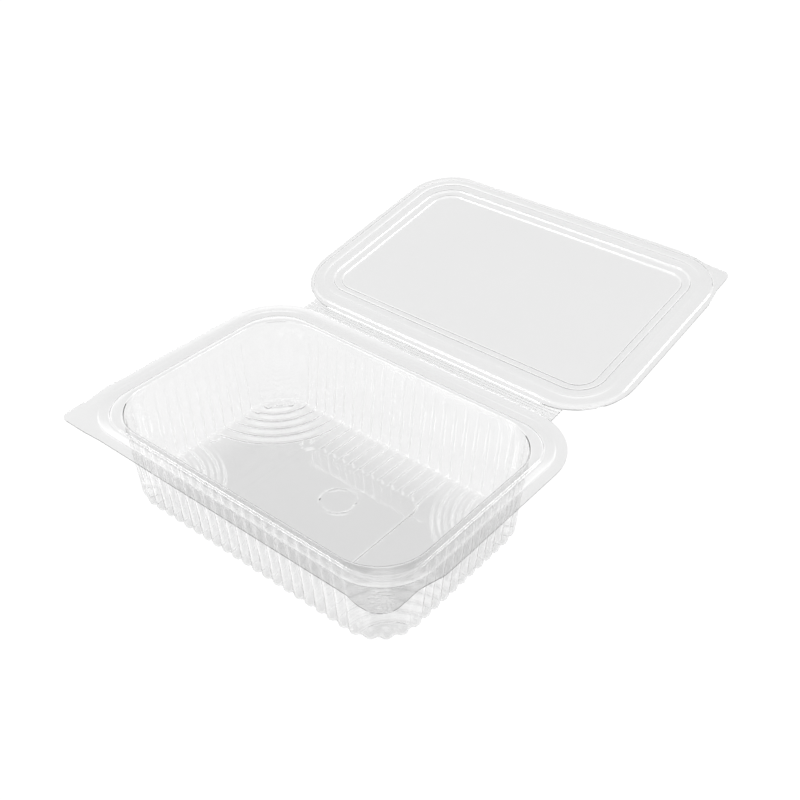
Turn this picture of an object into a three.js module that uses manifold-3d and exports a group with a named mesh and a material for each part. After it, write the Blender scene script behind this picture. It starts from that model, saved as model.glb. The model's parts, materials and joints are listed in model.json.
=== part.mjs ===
// Hinged takeaway container, formed from one clear plastic sheet and shown with its lid open.
//
// Millimetres, +Z up. X runs along the hinge, and the lid opens towards +Y. The origin lies under the
// middle of the tray, on the surface that its floor rests on.

import * as THREE from "three";
import { mergeVertices } from "three/addons/utils/BufferGeometryUtils.js";
import Module from "manifold-3d";

const wasm = await Module();
wasm.setup();

// Tray
const LIP_HALF_X = 95.25;
const LIP_HALF_Y = 68;
const LIP_RADIUS = 30;
const LIP_Z = 45.5;
const TRAY_SHEET = 0.9;

// Tabs that fill out the front corners of the lip, to pull the lid open by. Each leaves the lip's long edge at
// leaveX and its short edge at leaveY, and has reached its own edges at fullX and fullY.
const LEFT_TAB = { x: -93.3, y: -68.6, radius: 5, leaveX: -66, fullX: -76, leaveY: -44, fullY: -54 };
const RIGHT_TAB = { x: 92.2, y: -69.2, radius: 9, leaveX: 74, fullX: 78, leaveY: -37, fullY: -49 };

// Flutes of the wall, which is plain for a few millimetres below the rim
const FLUTE_PITCH = 6.1;
const FLUTES_BESIDE_Y = 5;
const FLUTES_BESIDE_X = 10;
const FLUTES_IN_CORNER = 3;
const FLUTE_FACE = 0.2;
const FLUTE_FOOT = 0.36;
const WALL_CORE_X = 58.3;
const WALL_CORE_Y = 31.3;
const WALL_TOP_REACH = 24.4;
const WALL_FOOT_REACH = 20.5;
const WALL_CORNER_RADIUS = 22;

// Floor: most of it stands a step above the panel and the channels that it rests on
const STEP_HEIGHT = 1.1;
const PANEL_HALF_X = 34.3;
const PANEL_HALF_Y = 27.7;
const PANEL_RADIUS = 7;
const PANEL_SLOPE = 0.5;
const CHANNEL_FOOT_WIDTH = 2.8;
const CHANNEL_TOP_WIDTH = 3.8;
const CHANNEL_WALL = 0.8;
const CHANNEL_END_WALL = 1;
const STUB_LENGTH = 5;

// Bends of the rim: a flange, a gutter that the closed lid sits over and a low bead at the opening. Inset is
// measured from the lip, rise from its top, and the sheet's lower face bends further in by under.
const RIM_BENDS = [
  { inset: 5, rise: 0, under: -0.3 },
  { inset: 5.6, rise: -0.4, under: -0.3 },
  { inset: 10, rise: -0.9, under: 0.4 },
  { inset: 11, rise: 0.4, under: 0.4 },
  { inset: 12.8, rise: 0.4, under: -0.7 },
];

// Bends of the wall, from the opening to the floor. Reach is measured from the wall's core to its outer face,
// z to its inner face, and the outer face bends lower by drop.
const WALL_BENDS = [
  { reach: WALL_TOP_REACH, z: LIP_Z - 0.8, drop: 0.8, fluteDepth: 0 },
  { reach: WALL_TOP_REACH - 0.3, z: LIP_Z - 4, drop: 0.4, fluteDepth: 0 },
  { reach: WALL_TOP_REACH - 0.4, z: LIP_Z - 5.2, drop: 0.4, fluteDepth: 0.6 },
  { reach: WALL_FOOT_REACH, z: STEP_HEIGHT + TRAY_SHEET, drop: TRAY_SHEET, fluteDepth: 1.1 },
];

// Lid
const LID_HALF_X = 93.5;
const LID_LENGTH = 131;
const LID_SHEET = 0.7;
const LID_CORE_RADIUS = 28;
const LID_HINGE_RADIUS = 31;
const LID_FAR_RADIUS = 25;
const LID_TAB = { x: 91.5, y: 127.5, radius: 5, leaveX: 66, fullX: 76, leaveY: 100, fullY: 112 };

// Bends of the lid: a raised ring that keeps it stiff, and a panel two steps lower
const LID_BENDS = [
  { inset: 2.6, rise: 0, under: 0.4 },
  { inset: 3.2, rise: 0.9, under: 0.4 },
  { inset: 13.2, rise: 0.9, under: -0.2 },
  { inset: 14.4, rise: 0, under: -0.2 },
  { inset: 17.4, rise: 0, under: -0.2 },
  { inset: 18.6, rise: -0.9, under: -0.2 },
];

// Hinge: a creased strip that folds along its middle
const STRIP_HALF_X = 74;
const STRIP_SHEET = 0.5;
const STRIP_GAP = 0.3;
const STRIP_ROOT = 2.4;
const CREASE_DEPTH = 0.35;
const CREASES_PER_SIDE = 2;
const FOLD_DROP = 0.1;
const HINGE_Y = LIP_HALF_Y + 2.5;
const HINGE_Z = LIP_Z + 0.8;
const LID_EDGE_FROM_HINGE = 3.7;
const LID_FACE_BELOW_HINGE = 0.8;
const LID_TILT_DEG = 10;

const CORNER_STEPS = 9;
const PANEL_CORNER_STEPS = 5;
const SAME_POINT = 0.01;
// Parts that are joined or cut run past each other by this much.
const OVERLAP = 0.1;

const CORNER_ARC = WALL_CORNER_RADIUS * (Math.PI / 2);
const CORNER_START = FLUTES_BESIDE_Y * FLUTE_PITCH;
const CORNER_END = WALL_CORE_Y + CORNER_ARC + WALL_CORE_X - FLUTES_BESIDE_X * FLUTE_PITCH;
const FLUTES_PER_QUARTER = FLUTES_BESIDE_Y + FLUTES_IN_CORNER + 1 + FLUTES_BESIDE_X;
const FLUTE_COUNT = 4 * FLUTES_PER_QUARTER;

// How far round the wall a flute lies, from the middle of a short side to the middle of a long one.
function distanceAlong(count) {
  if (count <= FLUTES_BESIDE_Y) return count * FLUTE_PITCH;
  const gaps = FLUTES_IN_CORNER + 1;
  const past = count - FLUTES_BESIDE_Y;
  if (past <= gaps) return CORNER_START + (past / gaps) * (CORNER_END - CORNER_START);
  return CORNER_END + (past - gaps) * FLUTE_PITCH;
}

// The point of the wall's core rectangle at that distance, and the way out from it.
function quarterStation(count) {
  const distance = distanceAlong(count);
  if (distance <= WALL_CORE_Y) return { x: WALL_CORE_X, y: distance, outX: 1, outY: 0 };
  const past = distance - WALL_CORE_Y;
  if (past <= CORNER_ARC) {
    const angle = past / WALL_CORNER_RADIUS;
    return { x: WALL_CORE_X, y: WALL_CORE_Y, outX: Math.cos(angle), outY: Math.sin(angle) };
  }
  return { x: WALL_CORE_X - (past - CORNER_ARC), y: WALL_CORE_Y, outX: 0, outY: 1 };
}

function wallStation(count) {
  const turn = (count + FLUTE_COUNT) % FLUTE_COUNT;
  const quarter = Math.floor(turn / FLUTES_PER_QUARTER);
  const along = turn - quarter * FLUTES_PER_QUARTER;
  const station = quarterStation(quarter % 2 === 0 ? along : FLUTES_PER_QUARTER - along);
  const signX = quarter === 0 || quarter === 3 ? 1 : -1;
  const signY = quarter < 2 ? 1 : -1;
  return {
    x: signX * station.x,
    y: signY * station.y,
    outX: signX * station.outX,
    outY: signY * station.outY,
  };
}

// A loop point, marked with how far round the middle it lies.
function mark(x, y, z, centreY = 0, guideX = x, guideY = y) {
  const angle = Math.atan2((guideY - centreY) / LIP_HALF_Y, guideX / LIP_HALF_X);
  return { point: [x, y, z], turn: (angle + 2 * Math.PI) % (2 * Math.PI) };
}

// A loop of the fluted wall: flutes with a flat face, and valleys that lie a flute's depth behind it.
function flutedLoop(faceReach, depth, z) {
  const corners = [
    [-FLUTE_FOOT, depth],
    [-FLUTE_FACE, 0],
    [FLUTE_FACE, 0],
    [FLUTE_FOOT, depth],
  ];
  const loop = [];
  for (let flute = 0; flute < FLUTE_COUNT; flute += 1) {
    for (const [phase, sunk] of corners) {
      const { x, y, outX, outY } = wallStation(flute + phase);
      const reach = faceReach - sunk;
      const guideX = x + outX * WALL_TOP_REACH;
      const guideY = y + outY * WALL_TOP_REACH;
      loop.push(mark(x + outX * reach, y + outY * reach, z, 0, guideX, guideY));
    }
  }
  return loop;
}

// A rounded rectangle: a core rectangle grown by reach.
function roundedLoop(coreX, coreLowY, coreHighY, reach, z, arcSteps = CORNER_STEPS) {
  const centreY = (coreLowY + coreHighY) / 2;
  const corners = [
    [coreX, coreHighY, 0],
    [-coreX, coreHighY, 1],
    [-coreX, coreLowY, 2],
    [coreX, coreLowY, 3],
  ];
  const loop = [];
  for (const [x, y, quarter] of corners) {
    for (let step = 0; step <= arcSteps; step += 1) {
      const angle = (quarter + step / arcSteps) * (Math.PI / 2);
      loop.push(mark(x + Math.cos(angle) * reach, y + Math.sin(angle) * reach, z, centreY));
    }
  }
  return loop;
}

function rimLoop(inset, z) {
  const coreY = LIP_HALF_Y - LIP_RADIUS;
  return roundedLoop(LIP_HALF_X - LIP_RADIUS, -coreY, coreY, LIP_RADIUS - inset, z);
}

function wallLoop(reach, fluteDepth, z) {
  if (fluteDepth > 0) return flutedLoop(reach, fluteDepth, z);
  return roundedLoop(WALL_CORE_X, -WALL_CORE_Y, WALL_CORE_Y, reach, z);
}

function lidLoop(inset, z) {
  const farY = LID_LENGTH - LID_CORE_RADIUS;
  return roundedLoop(LID_HALF_X - LID_CORE_RADIUS, LID_CORE_RADIUS, farY, LID_CORE_RADIUS - inset, z);
}

function panelLoop(grow, z) {
  const coreX = PANEL_HALF_X - PANEL_RADIUS;
  const coreY = PANEL_HALF_Y - PANEL_RADIUS;
  return roundedLoop(coreX, -coreY, coreY, PANEL_RADIUS + grow, z, PANEL_CORNER_STEPS);
}

function pathLoop(path, z, centreY = 0) {
  const points = path.getPoints(CORNER_STEPS);
  const isNew = (point, index) => {
    const before = points[(index + points.length - 1) % points.length];
    return point.distanceTo(before) > SAME_POINT;
  };
  return points.filter(isNew).map((point) => mark(point.x, point.y, z, centreY));
}

// Draws on round one rounded corner of an outline, a quarter turn from the given angle.
function roundCorner(path, cornerX, cornerY, radius, fromAngle) {
  const centreX = cornerX - Math.sign(cornerX) * radius;
  const centreY = cornerY - Math.sign(cornerY) * radius;
  path.absarc(centreX, centreY, radius, fromAngle, fromAngle + Math.PI / 2, false);
}

// The lip's outline, with its two tabs.
function trayLipPath() {
  const path = new THREE.Path();
  path.moveTo(LIP_HALF_X, 0);
  roundCorner(path, LIP_HALF_X, LIP_HALF_Y, LIP_RADIUS, 0);
  roundCorner(path, -LIP_HALF_X, LIP_HALF_Y, LIP_RADIUS, Math.PI / 2);
  path.lineTo(-LIP_HALF_X, LEFT_TAB.leaveY);
  path.quadraticCurveTo(-LIP_HALF_X, (LEFT_TAB.leaveY + LEFT_TAB.fullY) / 2, LEFT_TAB.x, LEFT_TAB.fullY);
  roundCorner(path, LEFT_TAB.x, LEFT_TAB.y, LEFT_TAB.radius, Math.PI);
  path.lineTo(LEFT_TAB.fullX, LEFT_TAB.y);
  path.lineTo(LEFT_TAB.leaveX, -LIP_HALF_Y);
  path.lineTo(RIGHT_TAB.leaveX, -LIP_HALF_Y);
  path.lineTo(RIGHT_TAB.fullX, RIGHT_TAB.y);
  roundCorner(path, RIGHT_TAB.x, RIGHT_TAB.y, RIGHT_TAB.radius, 1.5 * Math.PI);
  path.lineTo(RIGHT_TAB.x, RIGHT_TAB.fullY);
  path.lineTo(LIP_HALF_X, RIGHT_TAB.leaveY);
  return path;
}

// The lid's outline, from its hinged edge at y = 0. Its far right corner is the tab.
function lidPath() {
  const path = new THREE.Path();
  path.moveTo(LID_HALF_X, LID_LENGTH / 2);
  path.lineTo(LID_HALF_X, LID_TAB.leaveY);
  path.lineTo(LID_TAB.x, LID_TAB.fullY);
  roundCorner(path, LID_TAB.x, LID_TAB.y, LID_TAB.radius, 0);
  path.lineTo(LID_TAB.fullX, LID_TAB.y);
  path.lineTo(LID_TAB.leaveX, LID_LENGTH);
  roundCorner(path, -LID_HALF_X, LID_LENGTH, LID_FAR_RADIUS, Math.PI / 2);
  const hingeX = LID_HALF_X - LID_HINGE_RADIUS;
  path.absarc(-hingeX, LID_HINGE_RADIUS, LID_HINGE_RADIUS, Math.PI, 1.5 * Math.PI, false);
  path.absarc(hingeX, LID_HINGE_RADIUS, LID_HINGE_RADIUS, 1.5 * Math.PI, 2 * Math.PI, false);
  return path;
}

// Triangles for a closed skin, kept as a flat list of coordinates.
class Skin {
  constructor() {
    this.coordinates = [];
  }

  triangle(a, b, c) {
    this.coordinates.push(...a, ...b, ...c);
  }

  // Joins two loops that run anticlockwise, always stepping along the one whose next point comes first.
  // The faces look up when the second loop lies inside the first, and out when it lies above it.
  join(first, second) {
    const byTurn = (a, b) => a.turn - b.turn;
    const a = [...first].sort(byTurn);
    const b = [...second].sort(byTurn);
    const turnOf = (loop, index) => loop[index % loop.length].turn + (index < loop.length ? 0 : 2 * Math.PI);
    let i = 0;
    let j = 0;
    while (i < a.length || j < b.length) {
      const fromA = a[i % a.length].point;
      const fromB = b[j % b.length].point;
      if (j >= b.length || (i < a.length && turnOf(a, i + 1) <= turnOf(b, j + 1))) {
        this.triangle(fromA, a[(i + 1) % a.length].point, fromB);
        i += 1;
      } else {
        this.triangle(fromA, b[(j + 1) % b.length].point, fromB);
        j += 1;
      }
    }
  }

  cap(loop, faceUp) {
    const ordered = [...loop].sort((a, b) => a.turn - b.turn).map(({ point }) => point);
    const contour = ordered.map(([x, y]) => new THREE.Vector2(x, y));
    for (const [a, b, c] of THREE.ShapeUtils.triangulateShape(contour, [])) {
      if (faceUp) this.triangle(ordered[a], ordered[b], ordered[c]);
      else this.triangle(ordered[a], ordered[c], ordered[b]);
    }
  }

  geometry() {
    const geometry = new THREE.BufferGeometry();
    geometry.setAttribute("position", new THREE.Float32BufferAttribute(this.coordinates, 3));
    return geometry;
  }
}

// A closed sheet from the loops of its upper face and those of its lower face, both outside to inside.
function sheetGeometry(upper, lower) {
  const skin = new Skin();
  for (let row = 0; row + 1 < upper.length; row += 1) skin.join(upper[row], upper[row + 1]);
  skin.cap(upper[upper.length - 1], true);
  skin.cap(lower[lower.length - 1], false);
  for (let row = lower.length - 1; row > 0; row -= 1) skin.join(lower[row], lower[row - 1]);
  skin.join(lower[0], upper[0]);
  return skin.geometry();
}

// A block between two loops, the lower one first.
function blockGeometry(lowLoop, highLoop) {
  const skin = new Skin();
  skin.cap(lowLoop, false);
  skin.join(lowLoop, highLoop);
  skin.cap(highLoop, true);
  return skin.geometry();
}

function toSolid(geometry) {
  const plain = geometry.index ? geometry.toNonIndexed() : geometry.clone();
  plain.deleteAttribute("normal");
  plain.deleteAttribute("uv");
  const merged = mergeVertices(plain, 1e-4);
  return new wasm.Manifold(
    new wasm.Mesh({
      numProp: 3,
      vertProperties: new Float32Array(merged.attributes.position.array),
      triVerts: new Uint32Array(merged.index.array),
    })
  );
}

function toGeometry(solid) {
  const mesh = solid.getMesh();
  const geometry = new THREE.BufferGeometry();
  geometry.setAttribute("position", new THREE.BufferAttribute(new Float32Array(mesh.vertProperties), 3));
  geometry.setIndex(new THREE.BufferAttribute(new Uint32Array(mesh.triVerts), 1));
  geometry.computeVertexNormals();
  return geometry;
}

// The tray as one sheet, from the lip's edge over the rim and down the wall to a floor that is still flat.
function traySheet() {
  const outline = trayLipPath();
  const upper = [pathLoop(outline, LIP_Z)];
  const lower = [pathLoop(outline, LIP_Z - TRAY_SHEET)];
  for (const { inset, rise, under } of RIM_BENDS) {
    upper.push(rimLoop(inset, LIP_Z + rise));
    lower.push(rimLoop(inset + under, LIP_Z + rise - TRAY_SHEET));
  }
  for (const { reach, z, drop, fluteDepth } of WALL_BENDS) {
    upper.push(wallLoop(reach - TRAY_SHEET, fluteDepth, z));
    lower.push(wallLoop(reach, fluteDepth, z - drop));
  }
  return sheetGeometry(upper, lower);
}

// A bar along a row of centre points, with a flat foot and top of different widths.
function barGeometry(centres, footWidth, topWidth, footZ, topZ) {
  const sections = centres.map((centre, index) => {
    const before = centres[Math.max(index - 1, 0)];
    const after = centres[Math.min(index + 1, centres.length - 1)];
    const along = after.clone().sub(before).normalize();
    const at = (side, z) => [centre.x - along.y * side, centre.y + along.x * side, z];
    return [
      at(footWidth / 2, footZ),
      at(-footWidth / 2, footZ),
      at(-topWidth / 2, topZ),
      at(topWidth / 2, topZ),
    ];
  });
  const skin = new Skin();
  for (let index = 0; index + 1 < sections.length; index += 1) {
    const here = sections[index];
    const next = sections[index + 1];
    for (let side = 0; side < 4; side += 1) {
      const other = (side + 1) % 4;
      skin.triangle(here[side], next[other], here[other]);
      skin.triangle(here[side], next[side], next[other]);
    }
  }
  const first = sections[0];
  const last = sections[sections.length - 1];
  skin.triangle(first[0], first[1], first[2]);
  skin.triangle(first[0], first[2], first[3]);
  skin.triangle(last[0], last[2], last[1]);
  skin.triangle(last[0], last[3], last[2]);
  return skin.geometry();
}

// One channel in each quarter of the floor, mirrored from a row of points in the first one.
function inEachQuarter(line) {
  const signs = [[1, 1], [-1, 1], [-1, -1], [1, -1]];
  return signs.map(([signX, signY]) => line.map((point) => new THREE.Vector2(signX * point.x, signY * point.y)));
}

// Centre lines of the floor's channels, each starting inside a flute. Flutes in front of and behind the
// panel run straight into it. Those beside it are joined to the flutes of the short side, round circles that
// share one centre. The other flutes only run out on the floor. A closed end of a channel draws back by inset.
function channelLines(inset) {
  const wallReach = WALL_FOOT_REACH - OVERLAP - inset;
  const footX = WALL_CORE_X + wallReach;
  const footY = WALL_CORE_Y + wallReach;
  const straightCount = FLUTES_BESIDE_X - FLUTES_BESIDE_Y;
  const centreX = (FLUTES_BESIDE_X + FLUTES_IN_CORNER) * FLUTE_PITCH;
  const centreY = (FLUTES_BESIDE_Y + FLUTES_IN_CORNER) * FLUTE_PITCH;
  const lines = [];
  for (let flute = -straightCount; flute <= straightCount; flute += 1) {
    const x = flute * FLUTE_PITCH;
    for (const side of [-1, 1]) {
      lines.push([new THREE.Vector2(x, side * (PANEL_HALF_Y - PANEL_RADIUS)), new THREE.Vector2(x, side * footY)]);
    }
  }
  for (let flute = 1; flute <= FLUTES_BESIDE_Y; flute += 1) {
    const startX = (straightCount + flute) * FLUTE_PITCH;
    const radius = centreX - startX;
    const steps = CORNER_STEPS - flute;
    const line = [new THREE.Vector2(startX, footY), new THREE.Vector2(startX, centreY)];
    for (let step = 1; step < steps; step += 1) {
      const angle = (step / steps) * (Math.PI / 2);
      line.push(new THREE.Vector2(centreX - radius * Math.cos(angle), centreY - radius * Math.sin(angle)));
    }
    line.push(new THREE.Vector2(footX, centreY - radius));
    lines.push(...inEachQuarter(line));
  }
  for (const side of [-1, 1]) {
    const stubX = WALL_CORE_X + WALL_FOOT_REACH - STUB_LENGTH + inset;
    lines.push([new THREE.Vector2(side * stubX, 0), new THREE.Vector2(side * footX, 0)]);
  }
  for (let flute = 1; flute <= FLUTES_IN_CORNER; flute += 1) {
    const { x, y, outX, outY } = quarterStation(FLUTES_BESIDE_Y + flute);
    const at = (reach) => new THREE.Vector2(x + outX * reach, y + outY * reach);
    lines.push(...inEachQuarter([at(WALL_FOOT_REACH - STUB_LENGTH + inset), at(wallReach)]));
  }
  return lines;
}

// Half of the hinge strip, an extruded zigzag from its root to just short of the fold.
function stripGeometry(rootY, rootZ, foldY, foldZ) {
  const bends = 2 * CREASES_PER_SIDE + 1;
  const upper = [];
  for (let bend = 0; bend <= bends; bend += 1) {
    const along = bend / bends;
    const isCrease = bend % 2 === 1 && bend < bends;
    const dip = isCrease ? CREASE_DEPTH : 0;
    upper.push(new THREE.Vector2(rootY + (foldY - rootY) * along, rootZ + (foldZ - rootZ) * along - dip));
  }
  const lower = upper.map((point) => new THREE.Vector2(point.x, point.y - STRIP_SHEET)).reverse();
  const profile = new THREE.Shape([...upper, ...lower]);
  const geometry = new THREE.ExtrudeGeometry(profile, { depth: 2 * STRIP_HALF_X, bevelEnabled: false, steps: 1 });
  // The profile's own x and y become Y and Z, and its depth becomes X.
  geometry.applyMatrix4(new THREE.Matrix4().set(0, 0, 1, -STRIP_HALF_X, 1, 0, 0, 0, 0, 1, 0, 0, 0, 0, 0, 1));
  return geometry;
}

// The flat root that ties the strip to a lip whose corners curve away from it.
function stripRootGeometry(lowY, highY, topZ) {
  const root = new THREE.BoxGeometry(2 * STRIP_HALF_X, highY - lowY, STRIP_SHEET);
  root.translate(0, (lowY + highY) / 2, topZ - STRIP_SHEET / 2);
  return root;
}

function buildTray() {
  let tray = toSolid(traySheet());
  const plateMiddleZ = STEP_HEIGHT + TRAY_SHEET / 2;
  const aboveFloorZ = STEP_HEIGHT + TRAY_SHEET + OVERLAP;
  for (const line of channelLines(0)) {
    tray = tray.add(toSolid(barGeometry(line, CHANNEL_FOOT_WIDTH, CHANNEL_TOP_WIDTH, 0, plateMiddleZ)));
  }
  tray = tray.add(toSolid(blockGeometry(panelLoop(-PANEL_SLOPE, 0), panelLoop(0, plateMiddleZ))));
  for (const line of channelLines(CHANNEL_END_WALL)) {
    const footWidth = CHANNEL_FOOT_WIDTH - 2 * CHANNEL_WALL;
    const topWidth = CHANNEL_TOP_WIDTH - 2 * CHANNEL_WALL;
    tray = tray.subtract(toSolid(barGeometry(line, footWidth, topWidth, TRAY_SHEET, aboveFloorZ)));
  }
  const hollowFoot = panelLoop(-PANEL_SLOPE - CHANNEL_WALL, TRAY_SHEET);
  tray = tray.subtract(toSolid(blockGeometry(hollowFoot, panelLoop(-CHANNEL_WALL, aboveFloorZ))));
  const root = stripRootGeometry(LIP_HALF_Y - STRIP_ROOT, LIP_HALF_Y + OVERLAP, LIP_Z);
  const strip = stripGeometry(LIP_HALF_Y, LIP_Z, HINGE_Y - STRIP_GAP / 2, HINGE_Z - FOLD_DROP);
  return tray.add(toSolid(root)).add(toSolid(strip));
}

function buildLid() {
  const outline = lidPath();
  const upper = [pathLoop(outline, 0, LID_LENGTH / 2)];
  const lower = [pathLoop(outline, -LID_SHEET, LID_LENGTH / 2)];
  for (const { inset, rise, under } of LID_BENDS) {
    upper.push(lidLoop(inset, rise));
    lower.push(lidLoop(inset + under, rise - LID_SHEET));
  }
  const lid = toSolid(sheetGeometry(upper, lower));
  const root = stripRootGeometry(-OVERLAP, STRIP_ROOT, 0);
  const foldY = STRIP_GAP / 2 - LID_EDGE_FROM_HINGE;
  const strip = stripGeometry(0, 0, foldY, LID_FACE_BELOW_HINGE - FOLD_DROP);
  return lid.add(toSolid(root)).add(toSolid(strip));
}

function clearPlastic() {
  return new THREE.MeshStandardMaterial({
    color: "#e8ecee",
    roughness: 0.08,
    metalness: 0,
    transparent: true,
    opacity: 0.45,
    side: THREE.DoubleSide,
  });
}

function namedMesh(name, solid) {
  const mesh = new THREE.Mesh(toGeometry(solid), clearPlastic());
  mesh.name = name;
  return mesh;
}

const group = new THREE.Group();

group.add(namedMesh("tray", buildTray()));

const lidAtHinge = new THREE.Group();
lidAtHinge.position.set(0, HINGE_Y, HINGE_Z);
lidAtHinge.rotation.x = THREE.MathUtils.degToRad(LID_TILT_DEG);
const lid = namedMesh("lid", buildLid());
lid.position.set(0, LID_EDGE_FROM_HINGE, -LID_FACE_BELOW_HINGE);
lidAtHinge.add(lid);
group.add(lidAtHinge);

export default group;
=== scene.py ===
# %% [markdown]
# # A clear takeaway container, open
#
# The real thing is one sheet of clear plastic, warmed and drawn down into a mould. Everything here
# follows from that: one thin skin, the same thickness all over, with flutes and steps pressed into it.
# The solid model gives the sizes. This script makes the fine skin that stands in for it.

import json
import math

import bpy
import numpy as np
from mathutils import Matrix, Vector
from mathutils.geometry import delaunay_2d_cdt
from mathutils.kdtree import KDTree


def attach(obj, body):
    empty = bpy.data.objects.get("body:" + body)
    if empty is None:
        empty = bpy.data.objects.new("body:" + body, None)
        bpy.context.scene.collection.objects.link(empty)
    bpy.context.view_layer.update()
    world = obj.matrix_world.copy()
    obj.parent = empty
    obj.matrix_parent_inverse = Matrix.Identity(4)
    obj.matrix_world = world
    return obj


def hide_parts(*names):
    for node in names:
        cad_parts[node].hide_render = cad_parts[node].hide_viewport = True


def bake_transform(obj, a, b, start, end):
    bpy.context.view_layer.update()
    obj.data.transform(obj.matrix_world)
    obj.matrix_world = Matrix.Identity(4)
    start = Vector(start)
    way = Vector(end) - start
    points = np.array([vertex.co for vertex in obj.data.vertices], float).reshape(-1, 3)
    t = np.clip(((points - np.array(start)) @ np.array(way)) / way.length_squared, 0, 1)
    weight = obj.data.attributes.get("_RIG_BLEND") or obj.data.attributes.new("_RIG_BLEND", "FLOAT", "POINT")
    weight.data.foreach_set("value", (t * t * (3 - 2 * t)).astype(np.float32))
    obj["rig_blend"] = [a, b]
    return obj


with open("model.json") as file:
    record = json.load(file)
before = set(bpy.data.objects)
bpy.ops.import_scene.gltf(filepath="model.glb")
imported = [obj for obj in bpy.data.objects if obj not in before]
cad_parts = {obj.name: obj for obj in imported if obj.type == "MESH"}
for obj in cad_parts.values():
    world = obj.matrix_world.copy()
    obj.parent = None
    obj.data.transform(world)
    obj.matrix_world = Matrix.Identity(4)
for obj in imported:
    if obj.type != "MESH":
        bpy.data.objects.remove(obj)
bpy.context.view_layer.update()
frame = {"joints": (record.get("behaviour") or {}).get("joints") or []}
hinge = frame["joints"][0]
print("hinge at", hinge["pos_m"], "range", hinge["range_deg"])

# %% [markdown]
# ## Sizes
#
# Sizes are in millimetres, as a mould maker would write them, and become metres only when a mesh is
# made. A size that belongs to one piece is written beside that piece.

# %% Sizes of the sheet, the lip and the hinge
MM = 0.001
SHEET = 0.3
LIP_Z = 45.5
LIP_HALF_X = 95.25
LIP_HALF_Y = 68.0
LIP_RADIUS = 30.0
STRIP_HALF_X = 74.0
HINGE_Y = hinge["pos_m"][1] / MM
HINGE_Z = hinge["pos_m"][2] / MM

# %% [markdown]
# ## Outlines with tabs
#
# The lip and the lid are rounded rectangles, filled out at some corners into tabs for a thumb. An
# outline is easiest to write as a few corners, each with its own rounding. The points between them
# follow by geometry, so a tab can be moved by changing one number.


# %% Round the corners of an outline, and measure how far it reaches
ARC_STEPS = 10
SMALLEST_CROSS = 1e-9
EDGE_TOLERANCE = 1e-6


def rounded_outline(corners):
    """Points round an outline that is given as corners, each an x, a y and the radius there."""
    points = []
    for index, (x, y, radius) in enumerate(corners):
        here = np.array([x, y], float)
        back = np.array(corners[index - 1][:2], float) - here
        ahead = np.array(corners[(index + 1) % len(corners)][:2], float) - here
        back /= np.linalg.norm(back)
        ahead /= np.linalg.norm(ahead)
        half_angle = math.acos(np.clip(back @ ahead, -1, 1)) / 2
        bisector = (back + ahead) / np.linalg.norm(back + ahead)
        centre = here + bisector * radius / math.sin(half_angle)
        start = here + back * radius / math.tan(half_angle) - centre
        end = here + ahead * radius / math.tan(half_angle) - centre
        sweep = math.atan2(start[0] * end[1] - start[1] * end[0], start @ end)
        for step in range(ARC_STEPS + 1):
            cos = math.cos(sweep * step / ARC_STEPS)
            sin = math.sin(sweep * step / ARC_STEPS)
            turned = [start[0] * cos - start[1] * sin, start[0] * sin + start[1] * cos]
            points.append(centre + turned)
    return np.array(points)


def reach_to_outline(cores, outs, outline):
    """How far a ray from each core point, in its outward direction, runs to the outline."""
    edges = np.roll(outline, -1, axis=0) - outline
    reaches = []
    for core, out in zip(cores, outs):
        gap = outline - core
        cross = out[0] * edges[:, 1] - out[1] * edges[:, 0]
        cross = np.where(np.abs(cross) < SMALLEST_CROSS, SMALLEST_CROSS, cross)
        along_ray = (gap[:, 0] * edges[:, 1] - gap[:, 1] * edges[:, 0]) / cross
        along_edge = (gap[:, 0] * out[1] - gap[:, 1] * out[0]) / cross
        on_edge = (along_edge >= -EDGE_TOLERANCE) & (along_edge <= 1 + EDGE_TOLERANCE)
        is_hit = (along_ray > 0) & on_edge
        reaches.append(along_ray[is_hit].max())
    return np.array(reaches)


# %% The lip's outline, with its two tabs
TRAY_CORNERS = [
    (LIP_HALF_X, LIP_HALF_Y, LIP_RADIUS),
    (-LIP_HALF_X, LIP_HALF_Y, LIP_RADIUS),
    (-LIP_HALF_X, -44, 12),
    (-93.3, -54, 12),
    (-93.3, -68.6, 5),
    (-76, -68.6, 12),
    (-66, -LIP_HALF_Y, 12),
    (74, -LIP_HALF_Y, 5),
    (79, -69.2, 5),
    (92.2, -69.2, 9),
    (92.2, -49, 12),
    (LIP_HALF_X, -37, 12),
]
tray_outline = rounded_outline(TRAY_CORNERS)
print("lip outline", len(tray_outline), "points")

# %% [markdown]
# ## Stations round the wall
#
# The wall has 76 flutes: 21 along each long side, 11 along each short side and 3 in each corner. Each
# column of the mesh gets a place along that count, so that whole numbers fall on the flutes' faces.
# Eight columns to a flute are enough to round it: one on its face, one in the valley beside it and
# three on each flank.

# %% Places round the wall, counted in flutes
FLUTE_PITCH = 6.1
FLUTES_BESIDE_Y = 5
FLUTES_BESIDE_X = 10
FLUTES_IN_CORNER = 3
WALL_CORE = np.array([58.3, 31.3])
WALL_CORNER_RADIUS = 22.0
FLUTE_FACE = 0.06
FLUTE_FOOT = 0.45
PER_QUARTER = FLUTES_BESIDE_Y + FLUTES_IN_CORNER + 1 + FLUTES_BESIDE_X
COLUMN_PHASES = [-0.41, -0.29, -0.16, 0.0, 0.16, 0.29, 0.41, 0.5]


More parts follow.
